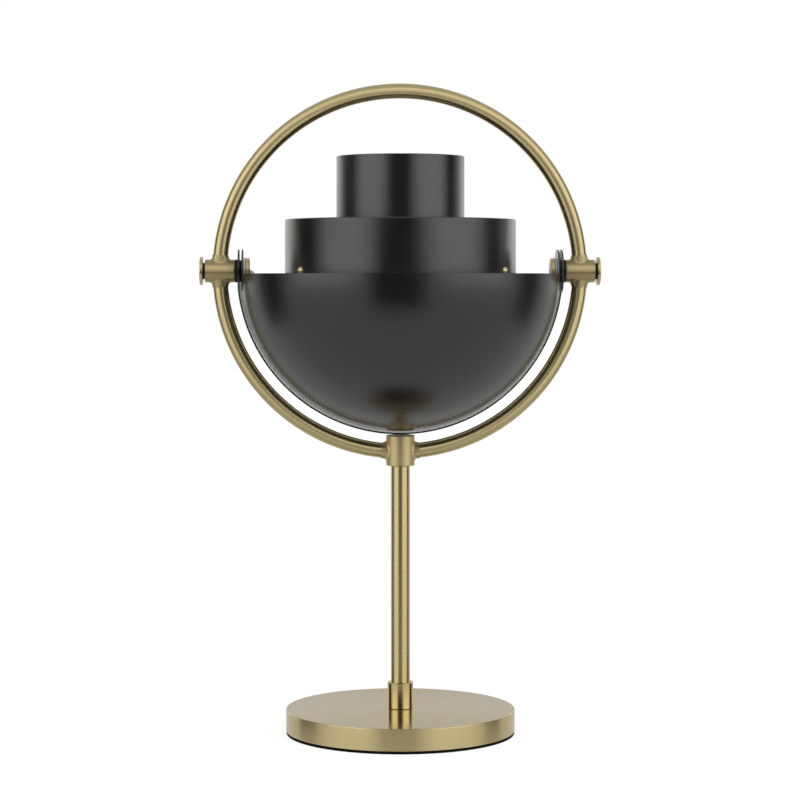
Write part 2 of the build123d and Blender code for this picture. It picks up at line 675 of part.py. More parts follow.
write(quarter_shade(SHADE_RADIUS, -1), "front_shade")
write(quarter_shade(rear_shade_radius, 1), "rear_shade")

# Carrier bracket: a sheet ring with arms, upright ears on the axles and three upright tabs
with BuildPart() as carrier_bracket:
    with BuildSketch(axis_plane.offset(arm_bottom)):
        Rectangle(2 * bracket_face, ARM_WIDTH)
        for angle in DRUM_SCREW_ANGLES:
            with Locations(Location((0, 0, 0), (0, 0, angle))):
                Rectangle(tab_face, TAB_WIDTH, align=(Align.MIN, Align.CENTER))
        Circle(carrier_radius)
        Circle(carrier_radius - CARRIER_WIDTH, mode=Mode.SUBTRACT)
    extrude(amount=SHEET_THICKNESS)
    for side in SIDES.values():
        with BuildSketch(across(side, bracket_back)):
            with Locations((0, 0)):
                Circle(ARM_WIDTH / 2)
            with Locations((0, arm_bottom)):
                Rectangle(ARM_WIDTH, -arm_bottom, align=(Align.CENTER, Align.MIN))
            Circle(seat_radius, mode=Mode.SUBTRACT)
        extrude(amount=SHEET_THICKNESS)
    for angle in DRUM_SCREW_ANGLES:
        with BuildSketch(radial_plane(angle, tab_face)):
            with Locations((0, arm_bottom)):
                Rectangle(TAB_WIDTH, TAB_RISE - arm_bottom, align=(Align.CENTER, Align.MIN))
            Circle(DRUM_SCREW_DIAMETER / 2 + SEAT_CLEARANCE, mode=Mode.SUBTRACT)
        extrude(amount=-SHEET_THICKNESS)
    lowest_edges = carrier_bracket.edges().filter_by(Axis.Y).group_by(Axis.Z)[0]
    fillet(lowest_edges.filter_by(lambda edge: abs(edge.center().X) > bracket_back), BEND_RADIUS)
write(carrier_bracket, "carrier_bracket")

# Drum: a spun cup, open below, with a notch over each bracket arm
with BuildPart() as drum_shell:
    with BuildSketch(pivot_plane):
        with BuildLine():
            Polyline(
                (shoulder_hole, DRUM_ABOVE_AXIS),
                (drum_radius, DRUM_ABOVE_AXIS),
                (drum_radius, -DRUM_BELOW_AXIS),
                (drum_bore, -DRUM_BELOW_AXIS),
                (drum_bore, sink_top),
                (shoulder_hole, sink_top),
                close=True,
            )
        make_face()
    revolve(axis=Axis.Z)
    shoulder_edges = drum_shell.edges().group_by(Axis.Z)[-1]
    fillet(shoulder_edges.sort_by(SortBy.RADIUS)[-1], DRUM_EDGE_RADIUS)
    for side in SIDES.values():
        with BuildSketch(across(side, carrier_radius)) as notch:
            with Locations((0, notch_top)):
                Rectangle(NOTCH_WIDTH, DRUM_BELOW_AXIS, align=(Align.CENTER, Align.MAX))
            fillet(notch.vertices().group_by(Axis.Y)[-1], NOTCH_CORNER)
        extrude(amount=drum_radius - carrier_radius, mode=Mode.SUBTRACT)
    for angle in DRUM_SCREW_ANGLES:
        with BuildSketch(radial_plane(angle, carrier_radius)):
            Circle(DRUM_SCREW_DIAMETER / 2 + SEAT_CLEARANCE)
        extrude(amount=drum_radius - carrier_radius, mode=Mode.SUBTRACT)
    with BuildSketch(axis_plane.offset(sink_top)):
        with PolarLocations(top_screw_circle, TOP_SCREW_COUNT, start_angle=90):
            Circle(TOP_SCREW_DIAMETER / 2 + SEAT_CLEARANCE)
    extrude(amount=DRUM_WALL, mode=Mode.SUBTRACT)
write(drum_shell, "drum_shell")

# Domed screws through the drum's side into the bracket tabs
with BuildPart() as domed_screw:
    head_radius = DRUM_SCREW_HEAD / 2
    shank_end = drum_radius - tab_face + SHEET_THICKNESS + DRUM_SCREW_BITE
    with BuildSketch(Plane.XZ):
        with BuildLine():
            Polyline(
                (0, DRUM_SCREW_DOME),
                (0, -shank_end),
                (DRUM_SCREW_DIAMETER / 2, -shank_end),
                (DRUM_SCREW_DIAMETER / 2, 0),
                (head_radius, 0),
            )
            dome = (head_radius**2 + DRUM_SCREW_DOME**2) / (2 * DRUM_SCREW_DOME)
            RadiusArc((head_radius, 0), (0, DRUM_SCREW_DOME), -dome)
        make_face()
    revolve(axis=Axis.Z)

with BuildPart() as drum_screws:
    for angle in DRUM_SCREW_ANGLES:
        with Locations(radial_plane(angle, drum_radius)):
            add(domed_screw.part)
write(drum_screws, "drum_screws")

# Narrow cylinder, with an inward flange that sits on the drum's shoulder
cylinder_floor = DRUM_ABOVE_AXIS + CYLINDER_WALL
cylinder_top = DRUM_ABOVE_AXIS + CYLINDER_HEIGHT
with BuildPart() as top_cylinder:
    with BuildSketch(pivot_plane):
        with BuildLine():
            Polyline(
                (shoulder_hole, DRUM_ABOVE_AXIS),
                (cylinder_radius, DRUM_ABOVE_AXIS),
                (cylinder_radius, cylinder_top),
                (cylinder_bore, cylinder_top),
                (cylinder_bore, cylinder_floor),
                (shoulder_hole, cylinder_floor),
                close=True,
            )
        make_face()
    revolve(axis=Axis.Z)
    fillet(top_cylinder.edges().group_by(Axis.Z)[-1], CYLINDER_EDGE_RADIUS)
    with BuildSketch(axis_plane.offset(DRUM_ABOVE_AXIS)):
        with PolarLocations(top_screw_circle, TOP_SCREW_COUNT, start_angle=90):
            Circle(TOP_SCREW_DIAMETER / 2 + SEAT_CLEARANCE)
    extrude(amount=CYLINDER_WALL, mode=Mode.SUBTRACT)
write(top_cylinder, "top_cylinder")

with BuildPart() as top_cylinder_screws:
    with BuildSketch(axis_plane.offset(cylinder_floor)):
        with PolarLocations(top_screw_circle, TOP_SCREW_COUNT, start_angle=90):
            Circle(TOP_SCREW_HEAD / 2)
    extrude(amount=TOP_SCREW_HEAD_HEIGHT)
    fillet(top_cylinder_screws.edges().group_by(Axis.Z)[-1], TOP_SCREW_EDGE_RADIUS)
    with BuildSketch(axis_plane.offset(sink_bottom)):
        with PolarLocations(top_screw_circle, TOP_SCREW_COUNT, start_angle=90):
            Circle(TOP_SCREW_DIAMETER / 2)
    extrude(amount=cylinder_floor - sink_bottom)
write(top_cylinder_screws, "top_cylinder_screws")

# Heat sink: flange under the shoulder, spigot for the diffuser, fins up into the cylinder
with BuildPart() as heat_sink:
    with BuildSketch(axis_plane.offset(sink_bottom)):
        Circle(sink_radius)
        with PolarLocations(top_screw_circle, TOP_SCREW_COUNT, start_angle=90):
            Circle(TOP_SCREW_DIAMETER / 2 + SEAT_CLEARANCE, mode=Mode.SUBTRACT)
    extrude(amount=SINK_FLANGE_THICKNESS)
    with BuildSketch(axis_plane.offset(spigot_bottom)):
        Circle(spigot_radius)
    extrude(amount=SINK_SPIGOT_HEIGHT)
    with BuildSketch(axis_plane.offset(sink_top)):
        Circle(fin_radius)
    extrude(amount=SINK_FLOOR)
    with BuildSketch(axis_plane.offset(sink_top + SINK_FLOOR)):
        Circle(SINK_CORE_DIAMETER / 2)
        with PolarLocations(0, SINK_FIN_COUNT):
            Rectangle(fin_radius, SINK_FIN_THICKNESS, align=(Align.MIN, Align.CENTER))
    extrude(amount=SINK_FIN_HEIGHT)
    with BuildSketch(axis_plane.offset(spigot_bottom)):
        with PolarLocations(led_screw_circle, LED_SCREW_COUNT):
            Circle(LED_SCREW_DIAMETER / 2 + SEAT_CLEARANCE)
    extrude(amount=LED_SCREW_BITE, mode=Mode.SUBTRACT)
write(heat_sink, "heat_sink")

# Light board with its chips, screws and the plug of the lead
with BuildPart() as led_board:
    with BuildSketch(axis_plane.offset(led_board_bottom)):
        Circle(led_board_radius)
        with PolarLocations(led_screw_circle, LED_SCREW_COUNT):
            Circle(LED_SCREW_DIAMETER / 2 + SEAT_CLEARANCE, mode=Mode.SUBTRACT)
    extrude(amount=LED_BOARD_THICKNESS)
write(led_board, "led_board")

with BuildPart() as led_chips:
    with BuildSketch(axis_plane.offset(led_board_bottom)):
        with PolarLocations(LED_CIRCLE_RADIUS, LED_COUNT):
            Rectangle(LED_WIDTH, LED_WIDTH)
    extrude(amount=-LED_THICKNESS)
write(led_chips, "led_chips")

with BuildPart() as led_board_screws:
    with BuildSketch(axis_plane.offset(led_board_bottom)):
        with PolarLocations(led_screw_circle, LED_SCREW_COUNT):
            Circle(LED_SCREW_HEAD / 2)
    extrude(amount=-LED_SCREW_HEAD_HEIGHT)
    with BuildSketch(axis_plane.offset(led_board_bottom)):
        with PolarLocations(led_screw_circle, LED_SCREW_COUNT):
            Circle(LED_SCREW_DIAMETER / 2)
    extrude(amount=LED_BOARD_THICKNESS + LED_SCREW_BITE)
write(led_board_screws, "led_board_screws")

with BuildPart() as led_connector:
    with BuildSketch(axis_plane.offset(led_board_bottom)):
        with Locations((-plug_x, 0)):
            Rectangle(PLUG_LENGTH, PLUG_WIDTH)
    extrude(amount=-PLUG_HEIGHT)
    chamfer(led_connector.edges().group_by(Axis.Z)[0], FITTING_CHAMFER)
write(led_connector, "led_connector")

# Diffuser: an opal cup on the spigot, with a hole for the lead
diffuser_bottom = sink_bottom - DIFFUSER_DEPTH
corner_inner = DIFFUSER_CORNER - DIFFUSER_WALL
with BuildPart() as diffuser:
    with BuildSketch(pivot_plane):
        with BuildLine():
            Line((0, diffuser_bottom), (diffuser_radius - DIFFUSER_CORNER, diffuser_bottom))
            JernArc((diffuser_radius - DIFFUSER_CORNER, diffuser_bottom), (1, 0), DIFFUSER_CORNER, 90)
            Polyline(
                (diffuser_radius, diffuser_bottom + DIFFUSER_CORNER),
                (diffuser_radius, sink_bottom),
                (diffuser_bore, sink_bottom),
                (diffuser_bore, diffuser_bottom + DIFFUSER_CORNER),
            )
            JernArc((diffuser_bore, diffuser_bottom + DIFFUSER_CORNER), (0, -1), corner_inner, -90)
            Polyline(
                (diffuser_radius - DIFFUSER_CORNER, diffuser_bottom + DIFFUSER_WALL),
                (0, diffuser_bottom + DIFFUSER_WALL),
                (0, diffuser_bottom),
            )
        make_face()
    revolve(axis=Axis.Z)
    with BuildSketch(across(-1, led_board_radius)):
        with Locations((0, plug_z)):
            Circle(LEAD_DIAMETER / 2 + FITTING_GAP)
    extrude(amount=sink_radius - led_board_radius, mode=Mode.SUBTRACT)
write(diffuser, "diffuser")

# Internal lead: up the stem, round the lower left of the ring, through the left axle,
# down onto the bracket arm and up to the plug. Every bend is tangent to its neighbours.
stem_bend_z = sqrt((ring_radius + LEAD_STEM_BEND) ** 2 - LEAD_STEM_BEND**2)
pivot_bend_x = sqrt((ring_radius - LEAD_PIVOT_BEND) ** 2 - LEAD_PIVOT_BEND**2)
stem_turn = degrees(atan2(stem_bend_z, LEAD_STEM_BEND))
ring_start = 180 + stem_turn
ring_end = 180 + degrees(atan2(LEAD_PIVOT_BEND, pivot_bend_x))
drop_x = nut_back - LEAD_PAST_NUT
rise_x = carrier_radius - CARRIER_WIDTH
with BuildPart() as lamp_lead:
    with BuildLine(pivot_plane) as lead_path:
        Line((0, board_top - pivot_z), (0, -stem_bend_z))
        CenterArc((-LEAD_STEM_BEND, -stem_bend_z), LEAD_STEM_BEND, 0, stem_turn)
        CenterArc((0, 0), ring_radius, ring_start, ring_end - ring_start)
        CenterArc((-pivot_bend_x, -LEAD_PIVOT_BEND), LEAD_PIVOT_BEND, ring_end, 90 - ring_end)
        FilletPolyline(
            (-pivot_bend_x, 0),
            (-drop_x, 0),
            (LEAD_DROP_LENGTH - drop_x, lead_over_arm),
            (-rise_x, lead_over_arm),
            (-rise_x, plug_z),
            (-plug_x - PLUG_LENGTH / 2, plug_z),
            radius=(LEAD_DROP_BEND, LEAD_DROP_BEND, LEAD_RISE_BEND, LEAD_RISE_BEND),
        )
    with BuildSketch(Plane.XY.offset(board_top)):
        Circle(LEAD_DIAMETER / 2)
    sweep()
write(lamp_lead, "lamp_lead")
lead_length = lead_path.wire().length
lead_section = pi * LEAD_DIAMETER**2 / 4
print(f"lead length {lead_length:.1f} mm")
print(f"lead volume over section times length {lamp_lead.part.volume / (lead_section * lead_length):.4f}")
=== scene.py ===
# %% [markdown]
# A portable table lamp: a brass stand carries a brass ring, and two quarter-sphere shades turn inside it.
# Every solid comes from the CAD frame, at its real place and in metres, so this lesson is about light,
# camera and finish. The lamp could also be modelled afresh here, but then its sizes would drift from
# those of the part.

import json
import math

import bpy
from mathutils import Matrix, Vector

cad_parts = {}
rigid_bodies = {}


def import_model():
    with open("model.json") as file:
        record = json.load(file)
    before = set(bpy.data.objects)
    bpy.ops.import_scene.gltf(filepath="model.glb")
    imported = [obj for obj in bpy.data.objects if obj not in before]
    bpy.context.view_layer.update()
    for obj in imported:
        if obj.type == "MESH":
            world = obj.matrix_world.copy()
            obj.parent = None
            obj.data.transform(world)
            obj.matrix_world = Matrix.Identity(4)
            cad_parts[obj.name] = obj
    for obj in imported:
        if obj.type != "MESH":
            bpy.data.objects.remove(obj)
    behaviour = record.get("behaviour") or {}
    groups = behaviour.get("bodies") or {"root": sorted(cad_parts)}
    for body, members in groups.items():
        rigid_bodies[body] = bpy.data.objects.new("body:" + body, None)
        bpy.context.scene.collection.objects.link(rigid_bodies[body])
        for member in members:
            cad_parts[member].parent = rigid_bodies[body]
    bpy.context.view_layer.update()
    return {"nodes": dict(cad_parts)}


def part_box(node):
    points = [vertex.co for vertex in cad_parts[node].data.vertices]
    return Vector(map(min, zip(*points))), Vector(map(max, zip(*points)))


for leftover in list(bpy.data.objects):
    bpy.data.objects.remove(leftover)
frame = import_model()
nodes = frame["nodes"]
scene = bpy.context.scene

# %% [markdown]
# Both pivots lie on one line through the middle of the ring, and the shades are parts of spheres round
# it. A sleeve stands evenly above and below that line, so the middle of its box gives the line's height.
# Reading such points from the frame keeps the scene true when the part changes.

# %% Find the points that the finishes are measured from
sleeve_low, sleeve_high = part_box("left_sleeve")
pivot_height = (sleeve_low.z + sleeve_high.z) / 2
pivot_middle = Vector((0, 0, pivot_height))
ring_radius = -(sleeve_low.x + sleeve_high.x) / 2
print(f"pivot line {pivot_height * 1000:.1f} mm up, ring radius {ring_radius * 1000:.1f} mm")

# %% [markdown]
# The photograph is a product shot with a long lens, nearly level with the pivots and a little from the
# left. Its upright lines stay upright, so the camera isn't tilted: the picture is moved down with the
# lens shift instead.

# %% Camera at the photograph's viewing angle
camera_turn = math.radians(-2.4)
camera_distance = 1.246
camera_height = 0.2376
camera_data = bpy.data.cameras.new("camera")
camera_data.sensor_width = 36.0
camera_data.lens = 106.6
camera_data.shift_x = -0.0005
camera_data.shift_y = -0.15
camera = bpy.data.objects.new("camera", camera_data)
camera.location = (
    camera_distance * math.sin(camera_turn),
    -camera_distance * math.cos(camera_turn),
    camera_height,
)
camera.rotation_euler = (math.radians(90), 0, camera_turn)
scene.collection.objects.link(camera)
scene.camera = camera
scene.view_settings.view_transform = "Standard"
print("camera at", [round(value, 3) for value in camera.location])

# %% [markdown]
# Finishes are built from nodes. Two short helpers keep that readable: one adds a node and joins its
# inputs, the other opens a shader group with named sockets. A link or a plain number can be given for
# any input.


# %% Helpers for node trees
def add(tree, kind, inputs=None, **options):
    """Adds a node, sets its options, and links or sets its inputs."""
    node = tree.nodes.new(kind)
    for option, value in options.items():
        setattr(node, option, value)
    for socket, source in (inputs or {}).items():
        if isinstance(source, bpy.types.NodeSocket):
            tree.links.new(source, node.inputs[socket])
        else:
            node.inputs[socket].default_value = source
    return node


def open_group(name, inputs, outputs):
    """An empty shader group with its named sockets, and its input and output nodes."""
    tree = bpy.data.node_groups.new(name, "ShaderNodeTree")
    for socket, kind in inputs.items():
        tree.interface.new_socket(socket, in_out="INPUT", socket_type=kind)
    for socket in outputs:
        tree.interface.new_socket(socket, in_out="OUTPUT", socket_type="NodeSocketFloat")
    return tree, add(tree, "NodeGroupInput"), add(tree, "NodeGroupOutput")


print("helpers ready:", add.__name__, open_group.__name__)

# %% [markdown]
# Satin brass is polished on a lathe with fine abrasive, which leaves grooves that run round each piece.
# Grooves could be drawn as a picture, but noise stretched along them has no seam and no limit of size:
# the group takes the place measured across the grooves, and puts out their height and slower streaks.

# %% Group: grooves left by turning and brushing
streaks_per_groove = 0.06
grain_group, given, made = open_group(
    "turned_grain",
    {"Across": "NodeSocketVector", "Lines per Metre": "NodeSocketFloat"},
    ("Height", "Streaks"),
)
lines = add(
    grain_group,
    "ShaderNodeVectorMath",
    {0: given.outputs["Across"], "Scale": given.outputs["Lines per Metre"]},
    operation="SCALE",
)
grooves = add(
    grain_group,
    "ShaderNodeTexNoise",
    {"Vector": lines.outputs[0], "Scale": 1.0, "Detail": 3.0, "Roughness": 0.6},
)
slow_lines = add(
    grain_group,
    "ShaderNodeTexNoise",
    {"Vector": lines.outputs[0], "Scale": streaks_per_groove, "Detail": 2.0},
)
grain_group.links.new(grooves.outputs["Fac"], made.inputs["Height"])
grain_group.links.new(slow_lines.outputs["Fac"], made.inputs["Streaks"])
print("group", grain_group.name, "with", len(grain_group.nodes), "nodes")

# %% [markdown]
# Sprayed and moulded surfaces aren't mirrors: paint dries with a faint orange peel, and a mould leaves a
# grain. One group serves both. Its grain size makes it fine or coarse, and a slower mottle varies the
# gloss.

# %% Group: skin of paint, plastic and rubber
mottles_per_metre = 55.0
skin_group, given, made = open_group(
    "fine_skin",
    {"Place": "NodeSocketVector", "Grains per Metre": "NodeSocketFloat"},
    ("Height", "Mottle"),
)
grains = add(
    skin_group,
    "ShaderNodeTexNoise",
    {"Vector": given.outputs["Place"], "Scale": given.outputs["Grains per Metre"], "Detail": 2.0},
)
mottle = add(
    skin_group,
    "ShaderNodeTexNoise",
    {"Vector": given.outputs["Place"], "Scale": mottles_per_metre, "Detail": 3.0, "Roughness": 0.55},
)
skin_group.links.new(grains.outputs["Fac"], made.inputs["Height"])
skin_group.links.new(mottle.outputs["Fac"], made.inputs["Mottle"])
print("group", skin_group.name, "with", len(skin_group.nodes), "nodes")

# %% [markdown]
# Hands turn the shades and carry the lamp, so smooth finishes get faint cloudy marks, duller than the
# rest. They are too soft to have a shape of their own, so two slow noises multiplied together are enough.

# %% Group: faint marks from handling
clouds_per_metre = 28.0
patches_per_metre = 9.0
mark_begins, mark_full = 0.18, 0.42
touch_group, given, made = open_group("handling", {"Place": "NodeSocketVector"}, ("Marks",))
clouds = add(
    touch_group,
    "ShaderNodeTexNoise",
    {"Vector": given.outputs["Place"], "Scale": clouds_per_metre, "Detail": 4.0},
)
patches = add(
    touch_group,
    "ShaderNodeTexNoise",
    {"Vector": given.outputs["Place"], "Scale": patches_per_metre, "Detail": 1.0},
)
both = add(
    touch_group,
    "ShaderNodeMath",
    {0: clouds.outputs["Fac"], 1: patches.outputs["Fac"]},
    operation="MULTIPLY",
)
soft_edge = add(
    touch_group,
    "ShaderNodeMapRange",
    {"Value": both.outputs[0], "From Min": mark_begins, "From Max": mark_full},
    interpolation_type="SMOOTHSTEP",
)
touch_group.links.new(soft_edge.outputs["Result"], made.inputs["Marks"])
print("group", touch_group.name, "with", len(touch_group.nodes), "nodes")

# %% [markdown]
# Every finish starts the same way: a material, its tree, its shader, and the place on the piece in
# metres. A group is then placed in the tree with values of its own. Blender's noise keeps mostly between
# 0.3 and 0.7, so that range is spread out where a mask becomes a span of roughness.

# %% Helpers that start a finish
noise_low, noise_high = 0.3, 0.7


def start_finish(name, metallic=0.0):
    """A material with its tree, its shader and the object coordinates."""
    material = bpy.data.materials.new(name)
    material.use_nodes = True
    tree = material.node_tree
    shader = tree.nodes["Principled BSDF"]
    shader.inputs["Metallic"].default_value = metallic
    place = add(tree, "ShaderNodeTexCoord").outputs["Object"]
    return material, tree, shader, place


def use_group(tree, group, inputs):
    """Places a shader group in a material and gives its outputs."""
    return add(tree, "ShaderNodeGroup", inputs, node_tree=group).outputs


def span(tree, mask, low, high):
    """A mask of noise, spread from low to high."""
    node = add(
        tree,
        "ShaderNodeMapRange",
        {"Value": mask, "From Min": noise_low, "From Max": noise_high, "To Min": low, "To Max": high},
    )
    return node.outputs["Result"]


print("finishes start from a plain shader, noise taken from", noise_low, "to", noise_high)

# %% [markdown]
# Three things keep a surface from looking too perfect: a gloss that isn't even, a colour that moves a
# little, and a fine relief. Each has a helper that joins it to the shader. The relief could be real
# geometry, but it is thinner than a hair, so a bump is enough. Three depths in metres are used often:
# shallow on paint and bare metal, moulded on plastic, and coarse on rubber.

# %% Helpers that join gloss, colour and relief to the shader
shallow, moulded, coarse = 0.000004, 0.00002, 0.00006


def dulled(tree, shader, place, rough, amount):
    """Roughness with the marks of handling added."""
    touch = use_group(tree, touch_group, {"Place": place})
    extra = add(tree, "ShaderNodeMath", {0: touch["Marks"], 1: amount}, operation="MULTIPLY")
    total = add(tree, "ShaderNodeMath", {0: rough, 1: extra.outputs[0]}, operation="ADD")
    tree.links.new(total.outputs[0], shader.inputs["Roughness"])


def tint(tree, shader, mask, one, other):
    """Base colour between two near colours."""
    node = add(tree, "ShaderNodeMix", {0: mask, 6: (*one, 1), 7: (*other, 1)}, data_type="RGBA")
    tree.links.new(node.outputs[2], shader.inputs["Base Color"])


def emboss(tree, shader, height, depth):
    """A bump of that depth in metres on the shader's normal."""
    node = add(tree, "ShaderNodeBump", {"Height": height, "Distance": depth, "Strength": 1.0})
    tree.links.new(node.outputs["Normal"], shader.inputs["Normal"])


print("relief of", shallow, moulded, "or", coarse, "m")

# %% [markdown]
# The brass pieces are turned round two lines and brushed along a third: base, stem and collars round the
# upright axis, sleeves, knobs and nuts round the pivot line, and the ring's tube round its own section.
# Each way has its own measure across the grooves, so one brass finish is built from three small
# functions.


# %% Places across the grooves
def from_pivot(tree, place):
    """The place seen from the middle of the pivot line."""
    return add(tree, "ShaderNodeVectorMath", {0: place, 1: pivot_middle}, operation="SUBTRACT").outputs[0]


def across_upright(tree, place):
    """Distance from the stem's axis, and height."""
    parts = add(tree, "ShaderNodeSeparateXYZ", {0: place}).outputs
    flat = add(tree, "ShaderNodeCombineXYZ", {"X": parts["X"], "Y": parts["Y"]}).outputs[0]
    distance = add(tree, "ShaderNodeVectorMath", {0: flat}, operation="LENGTH").outputs["Value"]
    return add(tree, "ShaderNodeCombineXYZ", {"X": distance, "Y": parts["Z"]}).outputs[0]


def across_pivot(tree, place):
    """Distance from the pivot line, and the place along it."""
    parts = add(tree, "ShaderNodeSeparateXYZ", {0: from_pivot(tree, place)}).outputs
    flat = add(tree, "ShaderNodeCombineXYZ", {"Y": parts["Y"], "Z": parts["Z"]}).outputs[0]
    distance = add(tree, "ShaderNodeVectorMath", {0: flat}, operation="LENGTH").outputs["Value"]
    return add(tree, "ShaderNodeCombineXYZ", {"X": distance, "Y": parts["X"]}).outputs[0]


def across_ring(tree, place):
    """Length along the ring."""
    parts = add(tree, "ShaderNodeSeparateXYZ", {0: from_pivot(tree, place)}).outputs
    turn = add(tree, "ShaderNodeMath", {0: parts["Z"], 1: parts["X"]}, operation="ARCTAN2").outputs[0]
    length = add(tree, "ShaderNodeMath", {0: turn, 1: ring_radius}, operation="MULTIPLY").outputs[0]
    return add(tree, "ShaderNodeCombineXYZ", {"X": length}).outputs[0]


print("three ways across the grooves")

# %% [markdown]
# Grooves smear a reflection across themselves and leave it sharp along them. Anisotropy does that, and it
# smears along the tangent, so the tangent has to lie across the grooves. Round an axis, the Tangent node
# gives the groove itself, and a quarter turn of the anisotropy makes it lie across. The ring's grooves
# run round its tube, so the ring's own direction is across them already: it stands at right angles to
# the line from the ring's middle.

# %% Groove directions
no_turn, quarter_turn = 0.0, 0.25


def groove_round(axis):
    """A function that gives the direction round an axis through the piece."""

    def direction(tree, place):
        return add(tree, "ShaderNodeTangent", direction_type="RADIAL", axis=axis).outputs[0]

    return direction


def along_ring(tree, place):
    """The ring's own direction at a place."""
    outwards = from_pivot(tree, place)
    turned = add(tree, "ShaderNodeVectorMath", {0: outwards, 1: (0, 1, 0)}, operation="CROSS_PRODUCT")
    return add(tree, "ShaderNodeVectorMath", {0: turned.outputs[0]}, operation="NORMALIZE").outputs[0]


print("groove directions ready, turned by", quarter_turn, "or", no_turn)

# %% [markdown]
# The brass itself is pale and warm. It could be given a clear coat, but a thin lacquer hardly shows on a
# satin metal, so its gloss is left to the metal. The streaks of the brushing vary its roughness, the
# marks of hands dull it, and the colour moves slightly between a deeper and a paler brass.

# %% Finish: satin brass
deep_brass, pale_brass = (0.545, 0.446, 0.232), (0.585, 0.478, 0.249)
brass_lines_per_metre = 7000.0
brass_groove_depth = 0.0000005
streak_change = 0.02
brass_marks = 0.03


def satin_brass(name, across, direction, turn, roughness, smear):
    """Brass with grooves: the measure across them, their direction, and how far they smear."""
    material, tree, shader, place = start_finish(name, metallic=1.0)
    grain = use_group(
        tree,
        grain_group,
        {"Across": across(tree, place), "Lines per Metre": brass_lines_per_metre},
    )
    rough = span(tree, grain["Streaks"], roughness - streak_change, roughness + streak_change)
    dulled(tree, shader, place, rough, brass_marks)
    tint(tree, shader, grain["Streaks"], deep_brass, pale_brass)
    emboss(tree, shader, grain["Height"], brass_groove_depth)
    shader.inputs["Anisotropic"].default_value = smear
    shader.inputs["Anisotropic Rotation"].default_value = turn
    tree.links.new(direction(tree, place), shader.inputs["Tangent"])
    return material


print("brass with", brass_lines_per_metre / 1000, "grooves per mm")

# %% [markdown]
# The same brass serves every piece, with a polish of its own on each. One material for all would be
# simpler, but the photographed pieces differ: the base's top and the collar on it shine most, stem, base
# side and knobs are satin, and the fittings on the ring look dullest.


# %% Brass for each kind of piece
def upright_brass(name, roughness, smear):
    """Brass turned round the upright axis."""
    return satin_brass(name, across_upright, groove_round("Z"), quarter_turn, roughness, smear)


def pivot_brass(name, roughness, smear):
    """Brass turned round the pivot line."""
    return satin_brass(name, across_pivot, groove_round("X"), quarter_turn, roughness, smear)


base_brass = upright_brass("base_brass", roughness=0.27, smear=0.85)
top_brass = upright_brass("top_brass", roughness=0.15, smear=0.8)
stem_brass = upright_brass("stem_brass", roughness=0.26, smear=1.0)
foot_brass = upright_brass("foot_brass", roughness=0.18, smear=0.8)
collar_brass = upright_brass("collar_brass", roughness=0.5, smear=0.2)
sleeve_brass = pivot_brass("sleeve_brass", roughness=0.46, smear=1.0)
knob_brass = pivot_brass("knob_brass", roughness=0.26, smear=0.8)
ring_brass = satin_brass("ring_brass", across_ring, along_ring, no_turn, roughness=0.34, smear=1.0)
print("brass on base, stem, collars, sleeves, knobs and ring")

# %% [markdown]
# Shades, drum and cylinder are spun metal, sprayed satin black outside and white inside to send light
# down. A clear coat could be added over the colour, but satin paint is one layer, so its own gloss is
# enough. Rubber and moulded plastic have the same build with a coarser grain and less gloss, so one
# function makes them all. The pad's rubber is nearly without gloss, as soft foot rubber is.

# %% Finish: paint, plastic and rubber
mottle_change = 0.02


def grey(level):
    """A colour without any hue."""
    return (level, level, level)


def skinned(name, one, other, roughness, grains_per_metre, depth, marks=0.04, shine=0.5):
    """A sprayed or moulded surface between two near colours."""
    material, tree, shader, place = start_finish(name)
    shader.inputs["Specular IOR Level"].default_value = shine
    skin = use_group(tree, skin_group, {"Place": place, "Grains per Metre": grains_per_metre})
    rough = span(tree, skin["Mottle"], roughness - mottle_change, roughness + mottle_change)
    dulled(tree, shader, place, rough, marks)
    tint(tree, shader, skin["Mottle"], one, other)
    emboss(tree, shader, skin["Height"], depth)
    return material


black_paint = skinned(
    "black_paint", grey(0.003), grey(0.004), 0.27, 900.0, depth=shallow, marks=0.03, shine=0.78
)
white_paint = skinned("white_paint", (0.78, 0.78, 0.77), (0.82, 0.82, 0.81), 0.2, 900.0, depth=shallow)
black_rubber = skinned("black_rubber", grey(0.004), grey(0.007), 0.7, 2600.0, depth=coarse, shine=0.02)
black_nylon = skinned("black_nylon", grey(0.004), grey(0.007), 0.5, 3500.0, depth=moulded, shine=0.2)
white_nylon = skinned("white_nylon", (0.74, 0.74, 0.71), (0.8, 0.8, 0.78), 0.45, 3000.0, depth=moulded)
red_sleeving = skinned(
    "red_sleeving", (0.42, 0.02, 0.02), (0.5, 0.035, 0.03), 0.42, 3000.0, depth=moulded
)
print("paints, rubber and plastics")

# %% [markdown]
# Screws, axles and the base's inner plates are zinc-plated steel: bright, bluish grey and mottled by tiny
# crystals. A cell pattern gives each crystal its own tone, and the moulded skin's bump, made shallow,
# keeps it from being flat.

# %% Finish: zinc-plated steel
crystals_per_metre = 900.0
zinc_roughness = 0.34
zinc_change = 0.03

zinc_steel, tree, shader, place = start_finish("zinc_steel", metallic=1.0)
crystals = add(
    tree, "ShaderNodeTexVoronoi", {"Vector": place, "Scale": crystals_per_metre, "Randomness": 1.0}
)
tone = add(tree, "ShaderNodeSeparateColor", {0: crystals.outputs["Color"]}).outputs[0]
skin = use_group(tree, skin_group, {"Place": place, "Grains per Metre": 2000.0})
rough = span(tree, skin["Mottle"], zinc_roughness - zinc_change, zinc_roughness + zinc_change)
dulled(tree, shader, place, rough, 0.06)
tint(tree, shader, tone, (0.58, 0.59, 0.61), (0.66, 0.67, 0.69))
emboss(tree, shader, skin["Height"], shallow)
print("plated steel:", zinc_steel.name)

